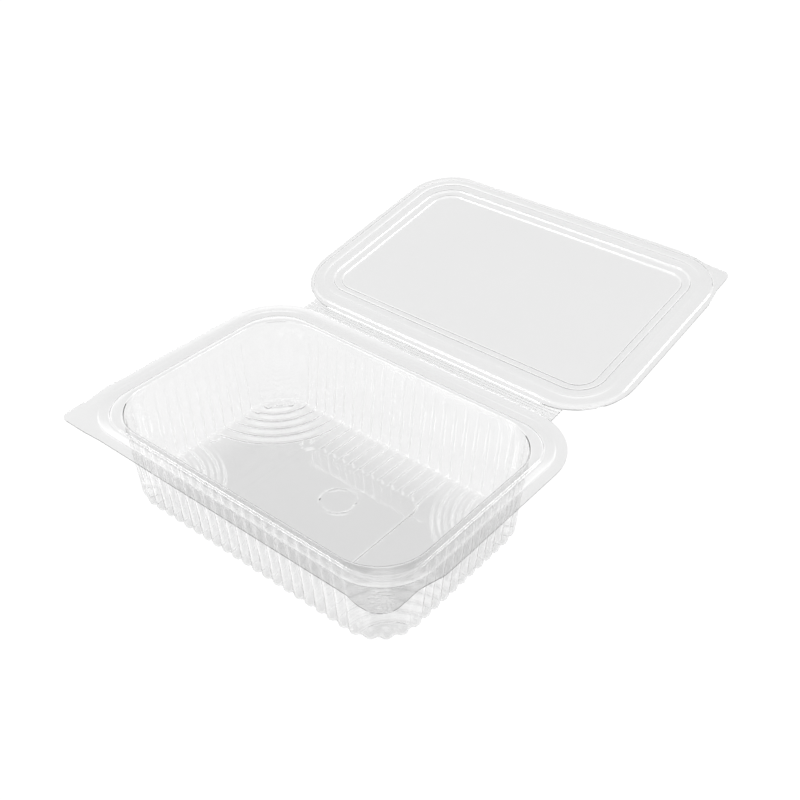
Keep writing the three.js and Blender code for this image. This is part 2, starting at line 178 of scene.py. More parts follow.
def quarter_station(count):
    """Core point and outward direction in the first quarter, from the middle of a short side."""
    arc = WALL_CORNER_RADIUS * math.pi / 2
    corner_start = FLUTES_BESIDE_Y * FLUTE_PITCH
    corner_end = WALL_CORE[1] + arc + WALL_CORE[0] - FLUTES_BESIDE_X * FLUTE_PITCH
    gaps = FLUTES_IN_CORNER + 1
    past = count - FLUTES_BESIDE_Y
    if past <= 0:
        distance = count * FLUTE_PITCH
    elif past <= gaps:
        distance = corner_start + past / gaps * (corner_end - corner_start)
    else:
        distance = corner_end + (past - gaps) * FLUTE_PITCH
    if distance <= WALL_CORE[1]:
        return (WALL_CORE[0], distance), (1.0, 0.0)
    if distance <= WALL_CORE[1] + arc:
        angle = (distance - WALL_CORE[1]) / WALL_CORNER_RADIUS
        return tuple(WALL_CORE), (math.cos(angle), math.sin(angle))
    return (WALL_CORE[0] + WALL_CORE[1] + arc - distance, WALL_CORE[1]), (0.0, 1.0)


def wall_station(count):
    """Core point and outward direction at any count round the wall."""
    quarter, along = divmod(count % (4 * PER_QUARTER), PER_QUARTER)
    core, out = quarter_station(along if quarter % 2 == 0 else PER_QUARTER - along)
    sign = np.array([1 if quarter in (0, 3) else -1, 1 if quarter < 2 else -1])
    return np.array(core) * sign, np.array(out) * sign


phases = np.array([flute + phase for flute in range(4 * PER_QUARTER) for phase in COLUMN_PHASES])
stations = [wall_station(phase) for phase in phases]
wall_cores = np.array([core for core, _ in stations])
wall_outs = np.array([out for _, out in stations])
rim_core = np.array([LIP_HALF_X - LIP_RADIUS, LIP_HALF_Y - LIP_RADIUS])
rim_cores = wall_cores * (rim_core / WALL_CORE)
lip_reaches = reach_to_outline(rim_cores, wall_outs, tray_outline)
print("columns round the wall", len(phases), "reach", lip_reaches.min(), lip_reaches.max())

# %% [markdown]
# ## The tray before pressing
#
# The first mesh is the tray without its flutes: a stack of loops from the lip's edge, over the gutter
# and the low bead, and down the wall. The rim's section is a short list of places, each a distance in
# from the lip and a height. Close spacing at a bend is what gives the narrow highlights there.

# %% The rim's section and the wall's
RIM_SECTION = [
    (0.0, 0.0), (1.2, 0.0), (3.2, 0.0), (4.6, 0.0), (4.85, -0.03), (5.1, -0.14), (5.35, -0.26),
    (5.7, -0.34), (7.2, -0.53), (8.4, -0.68), (9.3, -0.79), (9.55, -0.78), (9.75, -0.6), (9.95, -0.25),
    (10.15, 0.1), (10.4, 0.3), (10.8, 0.38), (11.8, 0.42), (12.5, 0.4), (12.9, 0.3), (13.25, 0.0),
]
WALL_SECTION = [
    (23.62, -0.5, 0.0, 0.0), (23.56, -1.6, 0.0, 0.0), (23.48, -3.6, 0.0, 0.0), (23.44, -4.2, 0.12, 0.0),
    (23.4, -4.8, 0.36, 0.0), (23.35, -5.6, 0.5, 0.0), (22.9, -12.0, 0.56, 0.0), (22.1, -22.0, 0.7, 0.0),
    (21.2, -32.0, 0.88, 0.0), (20.75, -38.5, 1.0, 0.0), (20.5, -41.2, 1.0, 0.2), (20.3, -42.8, 1.0, 0.7),
    (20.0, -44.0, 1.0, 1.0), (19.4, -44.75, 0.6, 1.0), (18.6, -45.1, 0.3, 1.0), (17.6, -45.1, 0.0, 1.0),
]
FLANGE_WIDTH = 4.6
BEAD_START = 10.4
RIM_WIDTH = RIM_SECTION[-1][0]
OPENING_REACH = 23.7

# %% [markdown]
# The opening's corners are rounder than the lip's, so over the bead the loops change from the one
# rounding to the other. Without that change a flat shelf would be left in each corner.

# %% Loops of the rim and the wall
loops = []
for inset, height in RIM_SECTION:
    share = min(inset / FLANGE_WIDTH, 1.0)
    reach = lip_reaches * (1 - share) + (LIP_RADIUS - inset) * share
    by_lip = rim_cores + wall_outs * reach[:, None]
    by_wall = wall_cores + wall_outs * (OPENING_REACH + RIM_WIDTH - inset)
    change = max(inset - BEAD_START, 0.0) / (RIM_WIDTH - BEAD_START)
    flat = by_lip * (1 - change) + by_wall * change
    loops.append(np.c_[flat, np.full(len(flat), LIP_Z + height)])
for reach, height, _, _ in WALL_SECTION:
    flat = wall_cores + wall_outs * reach
    loops.append(np.c_[flat, np.full(len(flat), LIP_Z + height)])
print("loops", len(loops), "foot height", LIP_Z + WALL_SECTION[-1][1])

# %% [markdown]
# ## The floor
#
# The floor carries relief that crosses it in all directions, so columns that run in from the wall would
# be a poor fit. An even lattice of points, joined by a Delaunay triangulation that must keep the wall's
# foot as its edge, takes any relief equally well.


# %% Fill a loop with an even lattice
EDGE_CLEARANCE = 0.6
KEEP_INSIDE = 1
MERGE_WITHIN = 1e-6


def fill_loop(edge_loop, spacing):
    """Triangles over the whole inside of a flat loop. The edge points come first, in their order."""
    low = edge_loop[:, :2].min(axis=0)
    high = edge_loop[:, :2].max(axis=0)
    row_gap = spacing * math.sqrt(3) / 2
    lattice = []
    for row, y in enumerate(np.arange(low[1], high[1], row_gap)):
        shift = spacing / 2 if row % 2 else 0.0
        lattice += [(x + shift, y) for x in np.arange(low[0], high[0], spacing)]
    lattice = np.array(lattice)
    ahead = np.roll(edge_loop[:, :2], -1, axis=0)
    clear = np.full(len(lattice), True)
    for start, end in zip(edge_loop[:, :2], ahead):
        along = (end - start) / np.linalg.norm(end - start)
        side = along[0] * (lattice[:, 1] - start[1]) - along[1] * (lattice[:, 0] - start[0])
        clear &= side > spacing * EDGE_CLEARANCE
    points = [Vector(point) for point in edge_loop[:, :2]]
    points += [Vector(point) for point in lattice[clear]]
    count = len(edge_loop)
    edges = [(index, (index + 1) % count) for index in range(count)]
    found = delaunay_2d_cdt(points, edges, [], KEEP_INSIDE, MERGE_WITHIN)
    origins = [origin[0] for origin in found[3]]
    triangles = [tuple(origins[corner] for corner in face) for face in found[2]]
    return np.array([tuple(point) for point in points[count:]]), triangles


foot_loop = loops[-1]
FLOOR_SPACING = 0.85
floor_points, floor_triangles = fill_loop(foot_loop, FLOOR_SPACING)
print("floor points", len(floor_points), "triangles", len(floor_triangles))


# %% Join the loops and the floor into one mesh
def mesh_from(name, points_mm, faces):
    mesh = bpy.data.meshes.new(name)
    mesh.from_pydata([tuple(point * MM) for point in points_mm], [], faces)
    mesh.update()
    piece = bpy.data.objects.new(name, mesh)
    bpy.context.scene.collection.objects.link(piece)
    return piece


def stacked_faces(row_count, column_count):
    faces = []
    for row in range(row_count - 1):
        for column in range(column_count):
            after = (column + 1) % column_count
            here = row * column_count
            below = here + column_count
            faces.append((here + column, here + after, below + after, below + column))
    return faces


def sheet_from(name, rows, inner_points, inner_triangles):
    """Loops from the outside in, closed in the middle by the triangles that fill the last loop."""
    column_count = len(rows[0])
    first_foot = (len(rows) - 1) * column_count
    heights = np.full(len(inner_points), rows[-1][0][2])
    points = np.concatenate(rows + [np.c_[inner_points, heights]])
    faces = stacked_faces(len(rows), column_count)
    faces += [tuple(first_foot + corner for corner in triangle) for triangle in inner_triangles]
    return mesh_from(name, points, faces)


plain_tray = sheet_from("plain_tray", loops, floor_points, floor_triangles)
print("plain tray", len(plain_tray.data.vertices), "points")

# %% [markdown]
# ## Marks that guide the pressing
#
# The pressing needs to know, at each point, which flute it belongs to, which way is out, and how far the
# flutes and the floor's step apply there. These go on the mesh as attributes, which Geometry Nodes reads
# by name. A floor point takes the flute of the nearest point on the wall's foot.

# %% Write the guides on the plain tray
STUB_LENGTH = 4.0
STUB_FADE = 1.5
rim_rows = len(RIM_SECTION)
column_count = len(phases)
wall_marks = [(0.0, 0.0)] * rim_rows + [(share, weight) for _, _, share, weight in WALL_SECTION]
foot_tree = KDTree(column_count)
for index, point in enumerate(foot_loop):
    foot_tree.insert(point, index)
foot_tree.balance()
nearest = [foot_tree.find((point[0], point[1], foot_loop[0][2])) for point in floor_points]
floor_phases = phases[[index for _, index, _ in nearest]]
floor_stubs = np.clip((STUB_LENGTH - np.array([gap for _, _, gap in nearest])) / STUB_FADE, 0, 1)
wall_press = np.repeat([share for share, _ in wall_marks], column_count)
wall_floor = np.repeat([weight for _, weight in wall_marks], column_count)
guides = {
    "flute": np.concatenate([np.tile(phases, len(loops)), floor_phases]),
    "press": np.concatenate([wall_press, np.zeros(len(floor_points))]),
    "floor": np.concatenate([wall_floor, np.ones(len(floor_points))]),
    "stub": np.concatenate([np.ones(column_count * len(loops)), floor_stubs]),
}
for name, values in guides.items():
    plain_tray.data.attributes.new(name, "FLOAT", "POINT").data.foreach_set("value", values)
outward = np.zeros((len(plain_tray.data.vertices), 3))
outward[: column_count * len(loops), :2] = np.tile(wall_outs, (len(loops), 1))
outward_marks = plain_tray.data.attributes.new("outward", "FLOAT_VECTOR", "POINT")
outward_marks.data.foreach_set("vector", outward.ravel())
print("guides", sorted(guides), "and outward")

# %% [markdown]
# ## Pressing the flutes and the floor with Geometry Nodes
#
# Flutes, channels and ripples all repeat at one pitch, so one tree makes them from a handful of sizes.
# A ping-pong of place divided by pitch gives the distance to the nearest flute or channel, and a smooth
# map range turns that distance into a pressed side. The ripples are the same rule on the distance from
# a point near the corner, which is why each one starts in one flute and ends in another.


# %% A function that adds one node
def add_node(tree, kind, inputs=None, **settings):
    """Adds a node. An input is set, or linked where it is given a socket or a node's first output."""
    node = tree.nodes.new(kind)
    for name, value in settings.items():
        setattr(node, name, value)
    for key, value in (inputs or {}).items():
        source = value.outputs[0] if isinstance(value, bpy.types.Node) else value
        if isinstance(source, bpy.types.NodeSocket):
            tree.links.new(source, node.inputs[key])
        else:
            node.inputs[key].default_value = source
    return node


# %% The pressing tree and its named inputs
press = bpy.data.node_groups.new("press_the_tray", "GeometryNodeTree")
press.interface.new_socket("Geometry", in_out="OUTPUT", socket_type="NodeSocketGeometry")
press.interface.new_socket("Geometry", in_out="INPUT", socket_type="NodeSocketGeometry")
PRESS_SIZES = {
    "Pitch": FLUTE_PITCH * MM,
    "Flute Depth": 1.1 * MM,
    "Flute Face": FLUTE_FACE,
    "Flute Foot": FLUTE_FOOT,
    "Step": 1.1 * MM,
    "Ring Radius": 8.5 * MM,
    "Ring Height": 0.5 * MM,
}
press_sockets = {}
for name in PRESS_SIZES:
    press_sockets[name] = press.interface.new_socket(name, in_out="INPUT", socket_type="NodeSocketFloat")
press_sockets["Plastic"] = press.interface.new_socket(
    "Plastic", in_out="INPUT", socket_type="NodeSocketMaterial"
)
given = add_node(press, "NodeGroupInput").outputs
marks = {
    name: add_node(press, "GeometryNodeInputNamedAttribute", {"Name": name}, data_type="FLOAT")
    for name in guides
}
out_way = add_node(press, "GeometryNodeInputNamedAttribute", {"Name": "outward"}, data_type="FLOAT_VECTOR")
print("pressing inputs", [socket.name for socket in given if socket.name])

# %% Flutes: how deep each point of the wall is pressed in
HALF_PITCH = 0.5
from_flute = add_node(press, "ShaderNodeMath", {0: marks["flute"], 1: HALF_PITCH}, operation="PINGPONG")
flute_side = {"Value": from_flute, "From Min": given["Flute Face"], "From Max": given["Flute Foot"]}
valley = add_node(press, "ShaderNodeMapRange", flute_side, interpolation_type="SMOOTHSTEP")
share = add_node(press, "ShaderNodeMath", {0: valley, 1: marks["press"]}, operation="MULTIPLY")
pressed_in = add_node(press, "ShaderNodeMath", {0: share, 1: given["Flute Depth"]}, operation="MULTIPLY")
pressed_out = add_node(press, "ShaderNodeMath", {0: pressed_in, 1: -1.0}, operation="MULTIPLY")
inward = add_node(press, "ShaderNodeVectorMath", {0: out_way, "Scale": pressed_out}, operation="SCALE")
print("flute depth", PRESS_SIZES["Flute Depth"] / MM, "mm")

# %% [markdown]
# ### The floor's low places
#
# The container rests on the places that are not stepped up: the panel, the channels into it, the ripples
# and the foot of each flute. The tray is the same from side to side and front to back, so the sums use
# distances without their sign. A map range with the settings called FALLING runs from one down to
# nothing, where it would otherwise rise.

# %% Channels and ripples
RIPPLE_CENTRE = (13 * FLUTE_PITCH, 8 * FLUTE_PITCH)
RIPPLES = (2.5, 7.5)
STRAIGHT_CHANNELS = (-1.0, 5.5)
LEVEL = (1, 1, 0)
FALLING = {"To Min": 1.0, "To Max": 0.0}
place = add_node(press, "GeometryNodeInputPosition")
unsigned = add_node(press, "ShaderNodeVectorMath", {0: place}, operation="ABSOLUTE")
flat_place = add_node(press, "ShaderNodeVectorMath", {0: unsigned, 1: LEVEL}, operation="MULTIPLY")
across = add_node(press, "ShaderNodeSeparateXYZ", {0: unsigned}).outputs
centre = (RIPPLE_CENTRE[0] * MM, RIPPLE_CENTRE[1] * MM, 0.0)
from_centre = add_node(press, "ShaderNodeVectorMath", {0: flat_place, 1: centre}, operation="DISTANCE")
low_places = []
for distance, span in [(from_centre.outputs["Value"], RIPPLES), (across["X"], STRAIGHT_CHANNELS)]:
    count = add_node(press, "ShaderNodeMath", {0: distance, 1: given["Pitch"]}, operation="DIVIDE")
    from_middle = add_node(press, "ShaderNodeMath", {0: count, 1: HALF_PITCH}, operation="PINGPONG")
    side = {"Value": from_middle, "From Min": given["Flute Face"], "From Max": given["Flute Foot"]}
    low = add_node(press, "ShaderNodeMapRange", {**side, **FALLING}, interpolation_type="SMOOTHSTEP")
    past_start = add_node(press, "ShaderNodeMath", {0: count, 1: span[0]}, operation="GREATER_THAN")
    before_end = add_node(press, "ShaderNodeMath", {0: count, 1: span[1]}, operation="LESS_THAN")
    within = add_node(press, "ShaderNodeMath", {0: past_start, 1: before_end}, operation="MULTIPLY")
    low_places.append(add_node(press, "ShaderNodeMath", {0: low, 1: within}, operation="MULTIPLY"))
print("in pitches: ripples", RIPPLES, "straight channels", STRAIGHT_CHANNELS)

# %% The panel and the feet of the flutes
PANEL_HALF = (34.3, 27.7)
PANEL_RADIUS = 7.0
PANEL_SIDE = (-0.3, 0.6)
panel_core = tuple((half - PANEL_RADIUS) * MM for half in PANEL_HALF) + (0.0,)
past_core = add_node(press, "ShaderNodeVectorMath", {0: flat_place, 1: panel_core}, operation="SUBTRACT")
over_core = add_node(press, "ShaderNodeVectorMath", {0: past_core, 1: (0, 0, 0)}, operation="MAXIMUM")
from_core = add_node(press, "ShaderNodeVectorMath", {0: over_core}, operation="LENGTH").outputs["Value"]
panel_side = {
    "Value": from_core,
    "From Min": (PANEL_RADIUS + PANEL_SIDE[0]) * MM,
    "From Max": (PANEL_RADIUS + PANEL_SIDE[1]) * MM,
    **FALLING,
}
low_places.append(add_node(press, "ShaderNodeMapRange", panel_side, interpolation_type="SMOOTHSTEP"))
face = add_node(press, "ShaderNodeMath", {0: 1.0, 1: valley}, operation="SUBTRACT")
low_places.append(add_node(press, "ShaderNodeMath", {0: face, 1: marks["stub"]}, operation="MULTIPLY"))
lowest = low_places[0]
for low in low_places[1:]:
    lowest = add_node(press, "ShaderNodeMath", {0: lowest, 1: low}, operation="MAXIMUM")
stepped = add_node(press, "ShaderNodeMath", {0: 1.0, 1: lowest}, operation="SUBTRACT")
floor_step = add_node(press, "ShaderNodeMath", {0: marks["floor"], 1: given["Step"]}, operation="MULTIPLY")
step_up = add_node(press, "ShaderNodeMath", {0: stepped, 1: floor_step}, operation="MULTIPLY")
print("kinds of low place", len(low_places))

# %% [markdown]
# The panel carries a low raised ring. It is a distance once more, from the ring's centre and less its
# radius, so that both of its sides come from one sum.

# %% A plain ring in the middle of the panel
RING_CENTRE = (3.0 * MM, 5.0 * MM, 0.0)
RING_SIDE = (0.1 * MM, 0.9 * MM)
ring_place = add_node(press, "ShaderNodeVectorMath", {0: place, 1: LEVEL}, operation="MULTIPLY")
to_centre = {0: ring_place, 1: RING_CENTRE}
from_ring_centre = add_node(press, "ShaderNodeVectorMath", to_centre, operation="DISTANCE").outputs["Value"]
less_radius = {0: from_ring_centre, 1: given["Ring Radius"]}
past_ring = add_node(press, "ShaderNodeMath", less_radius, operation="SUBTRACT")
from_ring = add_node(press, "ShaderNodeMath", {0: past_ring}, operation="ABSOLUTE")
ring_side = {"Value": from_ring, "From Min": RING_SIDE[0], "From Max": RING_SIDE[1], **FALLING}
ring = add_node(press, "ShaderNodeMapRange", ring_side, interpolation_type="SMOOTHSTEP")
on_floor = {0: marks["floor"], 1: given["Ring Height"]}
ring_height = add_node(press, "ShaderNodeMath", on_floor, operation="MULTIPLY")
ring_up = add_node(press, "ShaderNodeMath", {0: ring, 1: ring_height}, operation="MULTIPLY")
print("ring radius", PRESS_SIZES["Ring Radius"] / MM, "mm")

# %% Move the points and end the tree
upward = add_node(press, "ShaderNodeMath", {0: step_up, 1: ring_up}, operation="ADD")
lift = add_node(press, "ShaderNodeCombineXYZ", {"Z": upward})
shift = add_node(press, "ShaderNodeVectorMath", {0: inward, 1: lift}, operation="ADD")
moved = add_node(press, "GeometryNodeSetPosition", {"Geometry": given["Geometry"], "Offset": shift})
realized = add_node(press, "GeometryNodeRealizeInstances", {0: moved})
finished = add_node(press, "GeometryNodeSetMaterial", {"Geometry": realized, "Material": given["Plastic"]})
add_node(press, "NodeGroupOutput", {0: finished})
print("nodes in the pressing tree", len(press.nodes))

# %% [markdown]
# ## The plastic
#
# The sheet is PET, thermoformed and left glossy. It is clear and almost without colour, and it bends
# light more than window glass does. What the eye sees is mostly reflection: each layer hides a little
# of the pale table, and every bend in the sheet catches the lamps as a thin bright line. Forming leaves
# it slightly uneven, which a very low and wide bump gives, and handling leaves it faintly hazed.


# %% Colours from sRGB hex values
def linear_colour(hex_value):
    """Linear colour with full alpha. The numbers are those of the sRGB standard."""
    channels = [int(hex_value[start:start + 2], 16) / 255 for start in (1, 3, 5)]
    return tuple(c / 12.92 if c <= 0.04045 else ((c + 0.055) / 1.055) ** 2.4 for c in channels) + (1.0,)


# %% Thermoformed clear PET
PET_COLOUR = "#f0f0f0"
PET_IOR = 1.57
PET_ROUGHNESS = (0.02, 0.07)
HAZE_PATCH = 25.0
HAZE_DETAIL = 3.0
pet = bpy.data.materials.new("thermoformed_clear_PET")
pet.use_nodes = True
pet_tree = pet.node_tree
pet_shader = pet_tree.nodes["Principled BSDF"]
pet_shader.inputs["Base Color"].default_value = linear_colour(PET_COLOUR)
pet_shader.inputs["IOR"].default_value = PET_IOR
pet_shader.inputs["Transmission Weight"].default_value = 1.0
pet_place = add_node(pet_tree, "ShaderNodeTexCoord").outputs["Object"]
haze_size = {"Vector": pet_place, "Scale": 1 / (HAZE_PATCH * MM), "Detail": HAZE_DETAIL}
haze = add_node(pet_tree, "ShaderNodeTexNoise", haze_size)
haze_span = {"Value": haze, "To Min": PET_ROUGHNESS[0], "To Max": PET_ROUGHNESS[1]}
roughness = add_node(pet_tree, "ShaderNodeMapRange", haze_span)
pet_tree.links.new(roughness.outputs[0], pet_shader.inputs["Roughness"])
print("material", pet.name)

# %% The low waves that forming leaves
FORMING_WAVE = 9.0
WAVE_DETAIL = 2.0
WAVE_HEIGHT = 0.12
WAVE_STRENGTH = 0.25
wave_size = {"Vector": pet_place, "Scale": 1 / (FORMING_WAVE * MM), "Detail": WAVE_DETAIL}
wave = add_node(pet_tree, "ShaderNodeTexNoise", wave_size)
wave_push = {"Height": wave, "Strength": WAVE_STRENGTH, "Distance": WAVE_HEIGHT * MM}
wave_bump = add_node(pet_tree, "ShaderNodeBump", wave_push)
print("waves", FORMING_WAVE, "mm apart")

# %% [markdown]
# ### Grip marks
#
# The mould presses fine marks into the front right tab, for a thumb to hold. They are far finer than
# the mesh, so they are made as a bump in the finish: small cells in a round patch that fades out at its
# edge. They are drawn as coarse as they need to be to show.

# %% Fine grip marks on the tab of the tray
GRIP_PLACE = (85.5, -62.5, LIP_Z)
GRIP_EDGE = (4.0, 7.0)
GRIP_GRAIN = 1.3
GRIP_HEIGHT = 0.3
GRIP_STRENGTH = 0.8
to_grip = {0: pet_place, 1: tuple(size * MM for size in GRIP_PLACE)}
from_grip = add_node(pet_tree, "ShaderNodeVectorMath", to_grip, operation="DISTANCE").outputs["Value"]
grip_side = {"Value": from_grip, "From Min": GRIP_EDGE[0] * MM, "From Max": GRIP_EDGE[1] * MM, **FALLING}
grip_mask = add_node(pet_tree, "ShaderNodeMapRange", grip_side, interpolation_type="SMOOTHSTEP")
grip_size = {"Vector": pet_place, "Scale": 1 / (GRIP_GRAIN * MM)}
grip_cells = add_node(pet_tree, "ShaderNodeTexVoronoi", grip_size).outputs["Distance"]
grip_height = add_node(pet_tree, "ShaderNodeMath", {0: grip_mask, 1: grip_cells}, operation="MULTIPLY")
grip_push = {"Height": grip_height, "Strength": GRIP_STRENGTH, "Distance": GRIP_HEIGHT * MM}
grip_bump = add_node(pet_tree, "ShaderNodeBump", {**grip_push, "Normal": wave_bump})
pet_tree.links.new(grip_bump.outputs[0], pet_shader.inputs["Normal"])
print("grip marks", GRIP_GRAIN, "mm apart")

# %% [markdown]
# ## From the plain tray to the finished one
#
# The pressed surface is the tray's inner face. Solidify then gives it the sheet's thickness outwards,
# the way the real wall stands between its two faces. The result is kept as a plain mesh.

# %% Thicken a surface, and keep a piece as a plain mesh
SHARP_ANGLE = math.radians(65)


def as_plain_piece(name, source):
    """The evaluated object as a mesh of its own, without the guides and with its sharp edges marked."""
    evaluated = source.evaluated_get(bpy.context.evaluated_depsgraph_get())
    mesh = bpy.data.meshes.new_from_object(evaluated)
    mesh.name = name
    for spent in [mark.name for mark in mesh.attributes if mark.name in (*guides, "outward")]:
        mesh.attributes.remove(mesh.attributes[spent])
    mesh.shade_smooth()
    mesh.set_sharp_from_angle(angle=SHARP_ANGLE)
    piece = bpy.data.objects.new(name, mesh)
    bpy.context.scene.collection.objects.link(piece)
    old_mesh = source.data
    bpy.data.objects.remove(source)
    bpy.data.meshes.remove(old_mesh)
    print(name, "has", sum(len(face.vertices) - 2 for face in mesh.polygons), "triangles")
    return piece


def thicken(piece):
    """Gives a surface the sheet's thickness, on the side that its normals point away from."""
    wall = piece.modifiers.new("sheet", "SOLIDIFY")
    wall.thickness = SHEET * MM
    wall.offset = -1.0
    wall.use_even_offset = False


# %% Press and thicken the tray
pressing = plain_tray.modifiers.new("pressing", "NODES")
pressing.node_group = press
for name, size in PRESS_SIZES.items():
    pressing[press_sockets[name].identifier] = size
pressing[press_sockets["Plastic"].identifier] = pet
thicken(plain_tray)
tray_sheet = as_plain_piece("tray_sheet", plain_tray)
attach(tray_sheet, "tray")
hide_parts("tray")

# %% [markdown]
# ## The lid
#
# The lid is the same sheet: a flange, a raised ring that faces the tray's gutter and bead when the lid
# is shut, and two narrow steps down to a flat panel. A fine rib runs along the middle of the ring. The
# lid is built flat, in its own frame, as loops round a rounded rectangle, and then tilted about the
# hinge to where the photograph shows it.

# %% The lid's sizes, outline and section
LID_HALF_X = 93.5
LID_LENGTH = 131.0
LID_TILT = math.radians(10.0)
LID_FROM_HINGE = (3.7, -0.8)
LID_CORE_RADIUS = 28.0
LID_CORNERS = [
    (LID_HALF_X, 0, 31),
    (LID_HALF_X, 100, 12),
    (91.5, 112, 12),
    (91.5, 127.5, 5),
    (76, 127.5, 12),
    (66, LID_LENGTH, 12),
    (-LID_HALF_X, LID_LENGTH, 25),
    (-LID_HALF_X, 0, 31),
]
LID_SECTION = [
    (0.0, 0.0), (1.2, 0.0), (2.3, 0.0), (2.6, 0.06), (2.8, 0.45), (3.0, 0.82), (3.3, 0.9), (5.5, 0.9),
    (8.1, 0.9), (8.4, 0.98), (8.7, 1.04), (9.0, 0.98), (9.3, 0.9), (11.0, 0.9), (13.0, 0.9),
    (13.3, 0.85), (13.5, 0.55), (13.7, 0.15), (13.95, 0.0), (15.6, -0.02), (17.2, -0.05),
    (17.5, -0.1), (17.7, -0.38), (17.9, -0.75), (18.15, -0.9), (19.6, -0.9),
]
SIDE_STEPS = 24
CORNER_STEPS = 20


# %% Stations round the lid
def box_stations(core_low, core_high):
    """Core points and outward directions round a rounded rectangle, anticlockwise."""
    cores, outs = [], []
    corners = [
        (core_high[0], core_high[1]),
        (core_low[0], core_high[1]),
        (core_low[0], core_low[1]),
        (core_high[0], core_low[1]),
    ]
    for index, corner in enumerate(corners):
        for step in range(CORNER_STEPS):
            angle = (index + step / CORNER_STEPS) * math.pi / 2
            cores.append(corner)
            outs.append((math.cos(angle), math.sin(angle)))
        following = corners[(index + 1) % len(corners)]
        angle = (index + 1) * math.pi / 2
        for step in range(SIDE_STEPS):
            share = step / SIDE_STEPS
            cores.append(tuple(np.array(corner) * (1 - share) + np.array(following) * share))
            outs.append((math.cos(angle), math.sin(angle)))
    return np.array(cores), np.array(outs)


lid_core_x = LID_HALF_X - LID_CORE_RADIUS
lid_core_low = (-lid_core_x, LID_CORE_RADIUS)
lid_core_high = (lid_core_x, LID_LENGTH - LID_CORE_RADIUS)
lid_cores, lid_outs = box_stations(lid_core_low, lid_core_high)
lid_reaches = reach_to_outline(lid_cores, lid_outs, rounded_outline(LID_CORNERS))
print("columns round the lid", len(lid_cores))

# %% The lid's sheet
LID_FLANGE = 2.3
LID_FLOOR_SPACING = 3.0
lid_loops = []
for inset, height in LID_SECTION:
    share = min(inset / LID_FLANGE, 1.0)
    reach = lid_reaches * (1 - share) + (LID_CORE_RADIUS - inset) * share
    lid_loops.append(np.c_[lid_cores + lid_outs * reach[:, None], np.full(len(lid_cores), height)])
lid_points, lid_triangles = fill_loop(lid_loops[-1], LID_FLOOR_SPACING)
plain_lid = sheet_from("plain_lid", lid_loops, lid_points, lid_triangles)
plain_lid.data.materials.append(pet)
lid_place = (
    Matrix.Translation((0, HINGE_Y * MM, HINGE_Z * MM))
    @ Matrix.Rotation(LID_TILT, 4, "X")
    @ Matrix.Translation((0, LID_FROM_HINGE[0] * MM, LID_FROM_HINGE[1] * MM))
)
plain_lid.data.transform(lid_place)
thicken(plain_lid)
lid_sheet = as_plain_piece("lid_sheet", plain_lid)
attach(lid_sheet, "lid")
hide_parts("lid")

# %% [markdown]
# ## The hinge strip
#
# Between the two rims the sheet carries a strip of fine creases, which is where it bends. It follows the
# round of both rims at its ends. Its section is drawn once, and each point is set between the edge of the
# tray's lip and the edge of the lid. It bends with the joint, so it is blended between the two bodies.

# %% The strip's shape
CREASES = 4
CREASE_HEIGHT = 0.35
STRIP_STEPS_ACROSS = 32
STRIP_STEPS_ALONG = 120
EDGE_OVERLAP = 0.02


def edge_setback(x, half_width, radius):
    """How far a rounded corner has drawn back from the straight edge at x."""
    over = max(abs(x) - (half_width - radius), 0.0)
    return radius - math.sqrt(radius * radius - over * over)


strip_points = []
for along in range(STRIP_STEPS_ALONG + 1):
    x = -STRIP_HALF_X + 2 * STRIP_HALF_X * along / STRIP_STEPS_ALONG
    start = np.array([x, LIP_HALF_Y - edge_setback(x, LIP_HALF_X, LIP_RADIUS) + EDGE_OVERLAP, LIP_Z])
    lid_edge = edge_setback(x, LID_HALF_X, LID_CORNERS[0][2]) - EDGE_OVERLAP
    end = np.array(lid_place @ Vector((x * MM, lid_edge * MM, 0))) / MM
    for step in range(STRIP_STEPS_ACROSS + 1):
        share = step / STRIP_STEPS_ACROSS
        crease = abs(math.sin(share * CREASES * math.pi)) * CREASE_HEIGHT
        strip_points.append(start * (1 - share) + end * share + [0, 0, crease])
strip_points = np.array(strip_points)
print("strip points", len(strip_points))

# %% The strip's mesh, which bends with the joint
BEND_HALF = 1.8
row_size = STRIP_STEPS_ACROSS + 1
strip_faces = []
for along in range(STRIP_STEPS_ALONG):
    for step in range(STRIP_STEPS_ACROSS):
        here = along * row_size + step
        beside = here + row_size
        strip_faces.append((here, beside, beside + 1, here + 1))
plain_strip = mesh_from("plain_strip", strip_points, strip_faces)
plain_strip.data.materials.append(pet)
thicken(plain_strip)
hinge_strip = as_plain_piece("hinge_strip", plain_strip)
blend_start = (0, (HINGE_Y - BEND_HALF) * MM, HINGE_Z * MM)
blend_end = (0, (HINGE_Y + BEND_HALF) * MM, HINGE_Z * MM)
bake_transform(hinge_strip, "tray", "lid", start=blend_start, end=blend_end)
